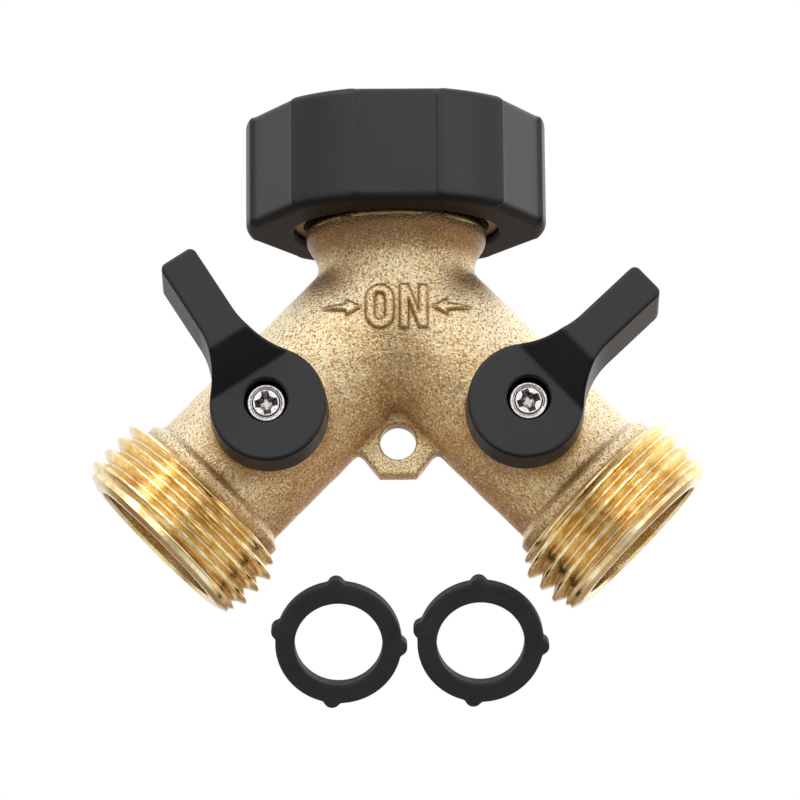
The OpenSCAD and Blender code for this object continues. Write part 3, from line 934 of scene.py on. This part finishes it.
# ---------------------------------------------------------------- building node trees
class Tree:
    """Short hand for building a node tree."""

    def __init__(self, tree):
        self.tree = tree

    def add(self, kind, **settings):
        node = self.tree.nodes.new(kind)
        for key, value in settings.items():
            setattr(node, key, value)
        return node

    def link(self, source, target):
        self.tree.links.new(source, target)

    def put(self, socket, value):
        """Feeds a socket from another one, or sets it to a number or an RGB triple."""
        if isinstance(value, bpy.types.NodeSocket):
            self.link(value, socket)
        elif isinstance(value, tuple):
            socket.default_value = (*value, 1)
        else:
            socket.default_value = value

    def ramp(self, source, *stops):
        """Colour ramp of (position, value) stops; a value is a grey number or an RGB triple."""
        node = self.add("ShaderNodeValToRGB")
        while len(node.color_ramp.elements) < len(stops):
            node.color_ramp.elements.new(0.5)
        for element, (at, value) in zip(node.color_ramp.elements, stops):
            element.position = at
            element.color = (*value, 1) if isinstance(value, tuple) else (value, value, value, 1)
        self.link(source, node.inputs["Fac"])
        return node.outputs["Color"]

    def mix(self, factor, first, second, blend="MIX"):
        node = self.add("ShaderNodeMix", data_type="RGBA", blend_type=blend)
        self.put(node.inputs["Factor"], factor)
        self.put(node.inputs["A"], first)
        self.put(node.inputs["B"], second)
        return node.outputs["Result"]

    def math(self, operation, *values):
        node = self.add("ShaderNodeMath", operation=operation)
        for socket, value in zip(node.inputs, values):
            self.put(socket, value)
        return node.outputs[0]

    def split(self, vector):
        """The X, Y and Z of a vector, as a node's outputs."""
        node = self.add("ShaderNodeSeparateXYZ")
        self.link(vector, node.inputs[0])
        return node.outputs


class Nodes(Tree):
    """Short hand for building a material, with its coordinates in millimetres."""

    def __init__(self, name):
        self.material = bpy.data.materials.new(name)
        self.material.use_nodes = True
        super().__init__(self.material.node_tree)
        self.shader = self.tree.nodes["Principled BSDF"]
        scale = self.add("ShaderNodeVectorMath", operation="SCALE")
        scale.inputs["Scale"].default_value = 1 / MM
        self.link(self.add("ShaderNodeTexCoord").outputs["Object"], scale.inputs[0])
        self.mm = scale.outputs[0]

    def set(self, name, value):
        """Sets or feeds one of the shader's inputs."""
        if isinstance(value, tuple):
            self.shader.inputs[name].default_value = (*value, 1)
        else:
            self.put(self.shader.inputs[name], value)

    def noise(self, per_mm, detail=2, roughness=0.6, distortion=0.0):
        node = self.add("ShaderNodeTexNoise")
        node.inputs["Scale"].default_value = per_mm
        node.inputs["Detail"].default_value = detail
        node.inputs["Roughness"].default_value = roughness
        node.inputs["Distortion"].default_value = distortion
        self.link(self.mm, node.inputs["Vector"])
        return node.outputs["Fac"]

    def wander(self, source, spread):
        """Moves a value up and down by a noise's output, by up to half the spread."""
        return self.math("MULTIPLY_ADD", source, spread, -spread / 2)

    def upward(self):
        """0 on a face that looks straight down, 1 on one that looks straight up."""
        normal = self.add("ShaderNodeNewGeometry").outputs["Normal"]
        return self.math("MULTIPLY_ADD", self.split(normal)["Z"], 0.5, 0.5)

    def occlusion_shade(self, colour, reach_mm, shade_colour):
        """Darkens a colour where the surface is hemmed in by others: painted shade, from ambient occlusion."""
        shade = self.add("ShaderNodeAmbientOcclusion", samples=AO_SAMPLES)
        shade.inputs["Distance"].default_value = reach_mm * MM
        return self.mix(self.ramp(shade.outputs["AO"], (0.35, 1.0), (0.93, 0.0)), colour, shade_colour)

    def bump(self, height, distance_mm, strength, normal=None):
        node = self.add("ShaderNodeBump")
        node.inputs["Strength"].default_value = strength
        node.inputs["Distance"].default_value = distance_mm * MM
        self.link(height, node.inputs["Height"])
        if normal:
            self.link(normal, node.inputs["Normal"])
        return node.outputs["Normal"]


def tinted(colour, factor):
    """A colour made darker or lighter."""
    return tuple(part * factor for part in colour)


# ---------------------------------------------------------------- materials
AO_SAMPLES = 8
# Brown of the painted shade in creases and round the direction mark.
CREASE_SHADE_BROWN = (0.34, 0.18, 0.06)
PIT_BROWN = (0.36, 0.18, 0.06)
CREVICE_SHADE_BROWN = (0.36, 0.21, 0.09)
NUT_SHADE_BROWN = (0.22, 0.11, 0.04)
SHOULDER_SHADE_BROWN = (0.36, 0.20, 0.08)
GLINT = (1.0, 0.96, 0.82)
NUT_SHADOW_H = 4.5
NUT_SHADOW_TOP = GRIP_LOW - 1.5
SHOULDER_REACH = 14.0


def cast_tone(n, grain, broad):
    """Brass that is browner underneath and paler on top, as painted shade and light, with brown pits and painted
    glints.
    """
    # Painted shade and light: brown on faces that look down, pale on faces that look up.
    lean = n.math("ADD", n.upward(), n.wander(broad, 0.7))
    colour = n.ramp(lean, (0.1, (0.64, 0.38, 0.14)), (0.40, (0.82, 0.60, 0.30)), (0.78, (0.95, 0.81, 0.54)))
    pits = n.ramp(grain, (0.39, 1.0), (0.46, 0.0))
    colour = n.mix(n.math("MULTIPLY", pits, 0.85), colour, PIT_BROWN)
    # Painted highlight: near-white glints on the grain.
    glints = n.ramp(grain, (0.57, 0.0), (0.63, 1.0))
    return n.mix(n.math("MULTIPLY", glints, 0.85), colour, GLINT)


def nut_shade(n, colour, height, broad):
    """Painted shadow in brown on the neck, just under the nut."""
    below = n.math("MULTIPLY_ADD", height, 1 / NUT_SHADOW_H, 1 - NUT_SHADOW_TOP / NUT_SHADOW_H)
    below = n.math("ADD", below, n.wander(broad, 1.0))
    return n.mix(n.ramp(below, (0.1, 0.0), (1.0, 0.88)), colour, NUT_SHADE_BROWN)


def shoulder_shade(n, colour, place, broad):
    """Painted shade in brown on the shoulders, where the legs leave the neck."""
    sideways = n.math("MULTIPLY", n.math("ABSOLUTE", place["X"]), 1 / SHOULDER_REACH)
    beside = n.ramp(sideways, (0.33, 0.0), (0.58, 1.0))
    above = n.math("MULTIPLY_ADD", place["Z"], 1 / SHOULDER_REACH, 0.5 - JUNCTION_Z / SHOULDER_REACH)
    above = n.math("ADD", above, n.wander(broad, 0.2))
    level = n.ramp(above, (0.38, 0.0), (0.62, 0.85), (0.74, 0.85), (0.84, 0.0))
    return n.mix(n.math("MULTIPLY", beside, level), colour, SHOULDER_SHADE_BROWN)


def cast_brass():
    """Sand-blasted casting, with painted shade in creases, on the shoulders, under the nut and round the mark."""
    n = Nodes("sandblasted_brass")
    grain = n.noise(3.3)
    fine = n.noise(8.0)
    broad = n.noise(0.25, detail=3, distortion=0.8)
    colour = cast_tone(n, grain, broad)
    # Painted shade in sharp creases, found from the mesh's pointiness.
    pointiness = n.add("ShaderNodeNewGeometry").outputs["Pointiness"]
    crease = n.ramp(pointiness, (0.42, 1.0), (0.495, 0.0))
    colour = n.mix(n.math("MULTIPLY", crease, 0.8), colour, CREASE_SHADE_BROWN)
    place = n.split(n.mm)
    colour = nut_shade(n, colour, place["Z"], broad)
    colour = shoulder_shade(n, colour, place, broad)
    # Painted shade along the direction mark's outline, broken up by noise.
    mark = n.add("ShaderNodeAttribute", attribute_name=MARK_SHADE).outputs["Fac"]
    mark = n.math("MULTIPLY", mark, n.ramp(fine, (0.3, 0.95), (0.7, 0.35)))
    colour = n.mix(mark, colour, CREASE_SHADE_BROWN)
    # Painted shade where the casting is hemmed in, from ambient occlusion.
    n.set("Base Color", n.occlusion_shade(colour, 5.0, CREVICE_SHADE_BROWN))
    n.set("Metallic", 0.8)
    n.set("Roughness", n.ramp(fine, (0.3, 0.2), (0.7, 0.38)))
    coarse = n.bump(grain, 0.17, strength=1.0)
    n.set("Normal", n.bump(fine, 0.04, strength=0.8, normal=coarse))
    return n.material


def turned_brass(name, colour, roughness, occlusion_shade_mm=None):
    """Machined metal with slow changes of tone and fine tool marks; given an occlusion reach, it also gets painted
    shade in its recesses.
    """
    n = Nodes(name)
    tone = n.ramp(n.noise(0.5, detail=3), (0.35, tinted(colour, 0.86)), (0.6, colour))
    # Painted shade in recesses, when an occlusion reach is given.
    n.set("Base Color", n.occlusion_shade(tone, occlusion_shade_mm, (0.05, 0.03, 0.015)) if occlusion_shade_mm else tone)
    n.set("Metallic", 1.0)
    scratch = n.noise(5.0, detail=3)
    n.set("Roughness", n.ramp(scratch, (0.35, roughness[0]), (0.7, roughness[1])))
    n.set("Normal", n.bump(scratch, 0.012, strength=0.6))
    return n.material


def thread_brass():
    """Machined brass, streaked brown where it has tarnished, with painted shade in the thread's roots."""
    n = Nodes("thread_brass")
    patch = n.noise(0.5, detail=3, distortion=0.8)
    tone = n.ramp(patch, (0.36, (0.82, 0.58, 0.26)), (0.5, (0.93, 0.74, 0.40)), (0.6, (0.98, 0.86, 0.56)))
    # Painted shade in the thread's roots, from ambient occlusion.
    n.set("Base Color", n.occlusion_shade(tone, 0.7, (0.55, 0.32, 0.10)))
    n.set("Metallic", 1.0)
    scratch = n.noise(5.0, detail=3)
    n.set("Roughness", n.ramp(scratch, (0.35, 0.12), (0.7, 0.24)))
    n.set("Normal", n.bump(scratch, 0.02, strength=0.7))
    return n.material


def moulded_plastic(name, colour, roughness, grain_per_mm):
    """Fine-grained plastic, duller on the faces that look down."""
    n = Nodes(name)
    grain = n.noise(grain_per_mm)
    broad = n.noise(0.12, roughness=0.5)
    n.set("Base Color", n.ramp(broad, (0.3, tinted(colour, 0.85)), (0.7, tinted(colour, 1.15))))
    n.set("Roughness", n.ramp(grain, (0.3, roughness - 0.05), (0.7, roughness + 0.07)))
    n.set("IOR", 1.46)
    # Painted shade: faces that look down reflect less.
    n.set("Specular IOR Level", n.ramp(n.upward(), (0.2, 0.08), (0.42, 0.5)))
    n.set("Normal", n.bump(grain, 0.035, strength=0.5))
    return n.material


def rubber(name, colour):
    """Dull rubber with a faint bloom."""
    n = Nodes(name)
    grain = n.noise(2.4, detail=3)
    bloom = n.noise(0.35, detail=3)
    n.set("Base Color", n.ramp(bloom, (0.3, tinted(colour, 0.75)), (0.7, tinted(colour, 1.25))))
    n.set("IOR", 1.36)
    n.set("Roughness", n.ramp(grain, (0.3, 0.5), (0.7, 0.7)))
    n.set("Normal", n.bump(grain, 0.03, strength=0.5))
    return n.material


def bright_steel(name, roughness):
    """Plated steel, mottled, with painted shade in its recesses."""
    n = Nodes(name)
    marks = n.noise(4.0, detail=3)
    tone = n.ramp(marks, (0.4, (0.42, 0.39, 0.38)), (0.6, (0.80, 0.79, 0.79)))
    n.set("Base Color", n.occlusion_shade(tone, 1.0, (0.16, 0.13, 0.12)))
    n.set("Metallic", 1.0)
    n.set("Roughness", n.ramp(marks, (0.35, roughness[0]), (0.7, roughness[1])))
    return n.material


def waxy_plastic():
    """White seat plastic, slightly cloudy."""
    n = Nodes("seat_plastic")
    cloud = n.noise(0.6, roughness=0.5)
    n.set("Base Color", n.ramp(cloud, (0.3, (0.86, 0.86, 0.83)), (0.7, (0.93, 0.93, 0.91))))
    n.set("Roughness", 0.42)
    n.set("Normal", n.bump(n.noise(3.0, roughness=0.5), 0.02, strength=0.4))
    return n.material


brass_cast = cast_brass()
brass_thread = thread_brass()
brass_inside = turned_brass("turned_brass", (0.90, 0.68, 0.33), (0.16, 0.34), 4.0)
# A darker copy of turned brass for the nut's insert: painted shade, so its edge in the gap under the grip reads
# dark.
shaded_brass_nut = turned_brass("shaded_nut_brass", (0.60, 0.41, 0.19), (0.2, 0.36), 4.0)
ring_bronze = turned_brass("spring_bronze", (0.72, 0.52, 0.28), (0.25, 0.4))
grip_black = moulded_plastic("grip_plastic", (0.015, 0.015, 0.017), 0.42, 4.5)
lever_black = moulded_plastic("lever_plastic", (0.012, 0.012, 0.014), 0.40, 5.5)
black_rubber = rubber("black_rubber", (0.02, 0.02, 0.021))
grey_rubber = rubber("grey_rubber", (0.018, 0.018, 0.021))
screw_bright = bright_steel("bright_steel", (0.08, 0.22))
ball_plate = bright_steel("ball_plating", (0.03, 0.08))
seat_white = waxy_plastic()


# ---------------------------------------------------------------- the pieces
def set_piece(piece, body, material, node):
    """Gives a piece its material and its body, and hides the CAD node it stands for."""
    piece.data.materials.append(material)
    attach(piece, body)
    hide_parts(node)


set_piece(make_casting(), "body", brass_cast, "y_body")
set_piece(tube_object("inlet_spigot", spigot_rows(), UPRIGHT), "body", brass_inside, "y_body")
for side_name in SIDES:
    valve = side_name + "_valve"
    thread = tube_object("outlet_thread_" + side_name, outlet_rows(side_name), along_leg(side_name))
    set_piece(thread, "body", brass_thread, "y_body")
    set_piece(make_lever(side_name), valve, lever_black, "lever_" + side_name)
    set_piece(make_screw(side_name), valve, screw_bright, "lever_screw_" + side_name)
    spare = make_spare_washer(side_name)
    set_piece(spare, side_name + "_spare", grey_rubber, "spare_washer_" + side_name)
set_piece(make_grip(), "inlet_nut", grip_black, "nut_grip")
insert = tube_object("nut_insert_turned", insert_rows(), UPRIGHT)
set_piece(insert, "inlet_nut", shaded_brass_nut, "nut_insert")
set_piece(make_inlet_washer(), "inlet_nut", black_rubber, "inlet_washer")

CAD_MATERIALS = {
    "nut_retaining_ring": ring_bronze,
    "ball": ball_plate,
    "seat_inner": seat_white,
    "seat_outer": seat_white,
    "seat_retainer": brass_inside,
    "stem": brass_inside,
    "stem_orings": black_rubber,
    "thrust_washer": seat_white,
}
for name, node in frame["nodes"].items():
    kind = name.removesuffix("_left").removesuffix("_right")
    if kind in CAD_MATERIALS:
        node.data.materials.clear()
        node.data.materials.append(CAD_MATERIALS[kind])


# ---------------------------------------------------------------- studio
CAMERA_ELEVATION = math.radians(-11.2)
CAMERA_AZIMUTH = math.radians(0.1)
CAMERA_ROLL = math.radians(-0.52)
CAMERA_DISTANCE = 540.0
CAMERA_LENS = 186.4
CAMERA_SENSOR = 36.0
AIM = np.array([0.3, 0.0, -29.17])
FLOOR_REACH = 1500
FLOOR_GAP = 1.0
FLOOR_GREY = 0.86
KEY_AT = (-220, -300, 260)
KEY_SIZE = 200
KEY_POWER = 0.3
FILL_AT = (300, -260, 60)
FILL_SIZE = 220
FILL_POWER = 0.2
WHITE = (1.0, 1.0, 1.0)
WARM_DARK = (0.34, 0.24, 0.15)
WARM_MID = (0.5, 0.42, 0.33)
WARM_LOW = (0.3, 0.2, 0.12)
WARM_SKIRT = (0.36, 0.27, 0.18)


def make_camera():
    data = bpy.data.cameras.new("camera")
    data.lens = CAMERA_LENS
    data.sensor_width = CAMERA_SENSOR
    camera = bpy.data.objects.new("camera", data)
    bpy.context.scene.collection.objects.link(camera)
    away = np.array([
        math.sin(CAMERA_AZIMUTH) * math.cos(CAMERA_ELEVATION),
        -math.cos(CAMERA_AZIMUTH) * math.cos(CAMERA_ELEVATION),
        math.sin(CAMERA_ELEVATION),
    ])
    camera.location = Vector((AIM + CAMERA_DISTANCE * away) * MM)
    facing = Vector(-away).to_track_quat("-Z", "Y").to_matrix().to_4x4()
    roll = Matrix.Rotation(CAMERA_ROLL, 4, "Z")
    camera.matrix_world = Matrix.Translation(camera.location) @ facing @ roll
    bpy.context.scene.camera = camera


def make_world():
    """Soft studio: white to the camera, brightest in front and above, with warm dark sides and low back."""
    world = bpy.data.worlds.new("studio")
    world.use_nodes = True
    bpy.context.scene.world = world
    t = Tree(world.node_tree)
    ray = t.split(t.add("ShaderNodeTexCoord").outputs["Generated"])
    sideways, back, up = (t.math("MULTIPLY_ADD", ray[axis], 0.5, 0.5) for axis in "XYZ")
    front = t.ramp(up, (0.0, 0.35), (0.38, 0.36), (0.5, 0.75), (0.56, 1.75), (0.75, 1.05), (1.0, 1.2))
    flank = t.ramp(up, (0.0, 0.95), (0.42, 0.9), (0.55, WARM_DARK), (0.66, WARM_MID), (0.78, 1.0), (1.0, 1.2))
    aside = t.ramp(t.math("ABSOLUTE", ray["X"]), (0.35, 0.0), (0.65, 1.0))
    ahead = t.mix(aside, front, flank)
    behind = t.ramp(up, (0.0, 0.75), (0.37, WARM_LOW), (0.44, WARM_SKIRT), (0.48, 1.0), (1.0, 1.3))
    behind = t.mix(1.0, behind, t.ramp(sideways, (0.4, 0.9), (0.7, 1.3)), "MULTIPLY")
    sweep = t.mix(t.ramp(back, (0.47, 0.0), (0.6, 1.0)), ahead, behind)
    seen = t.mix(t.add("ShaderNodeLightPath").outputs["Is Camera Ray"], sweep, WHITE)
    t.link(seen, world.node_tree.nodes["Background"].inputs["Color"])


def area_light(name, at, size, power):
    data = bpy.data.lights.new(name, "AREA")
    data.shape = "DISK"
    data.size = size * MM
    data.energy = power
    lamp = bpy.data.objects.new(name, data)
    bpy.context.scene.collection.objects.link(lamp)
    lamp.location = Vector(np.array(at, float) * MM)
    aim = Vector(AIM * MM) - lamp.location
    lamp.rotation_euler = aim.to_track_quat("-Z", "Y").to_euler()


def floor_material():
    """Matt pale grey, which only the camera sees and only from above, so that it sends no light up."""
    n = Nodes("floor")
    n.set("Base Color", (FLOOR_GREY, FLOOR_GREY, FLOOR_GREY))
    n.set("Roughness", 0.7)
    n.set("Specular IOR Level", 0.0)
    from_above = n.math("SUBTRACT", 1.0, n.add("ShaderNodeNewGeometry").outputs["Backfacing"])
    shown = n.math("MULTIPLY", from_above, n.add("ShaderNodeLightPath").outputs["Is Camera Ray"])
    either = n.add("ShaderNodeMixShader")
    n.link(shown, either.inputs["Fac"])
    n.link(n.add("ShaderNodeBsdfTransparent").outputs[0], either.inputs[1])
    n.link(n.shader.outputs[0], either.inputs[2])
    n.link(either.outputs[0], n.tree.nodes["Material Output"].inputs["Surface"])
    return n.material


def make_floor():
    low = min(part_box(node)[0][2] for node in frame["nodes"]) - FLOOR_GAP * MM
    signs = ((-1, -1), (1, -1), (1, 1), (-1, 1))
    corners = [(x * FLOOR_REACH * MM, y * FLOOR_REACH * MM, low) for x, y in signs]
    mesh = bpy.data.meshes.new("floor")
    mesh.from_pydata(corners, [], [(0, 1, 2, 3)])
    mesh.materials.append(floor_material())
    floor = bpy.data.objects.new("floor", mesh)
    bpy.context.scene.collection.objects.link(floor)


make_camera()
make_world()
make_floor()
area_light("key", KEY_AT, KEY_SIZE, KEY_POWER)
area_light("fill", FILL_AT, FILL_SIZE, FILL_POWER)
bpy.context.scene.view_settings.view_transform = "Standard"
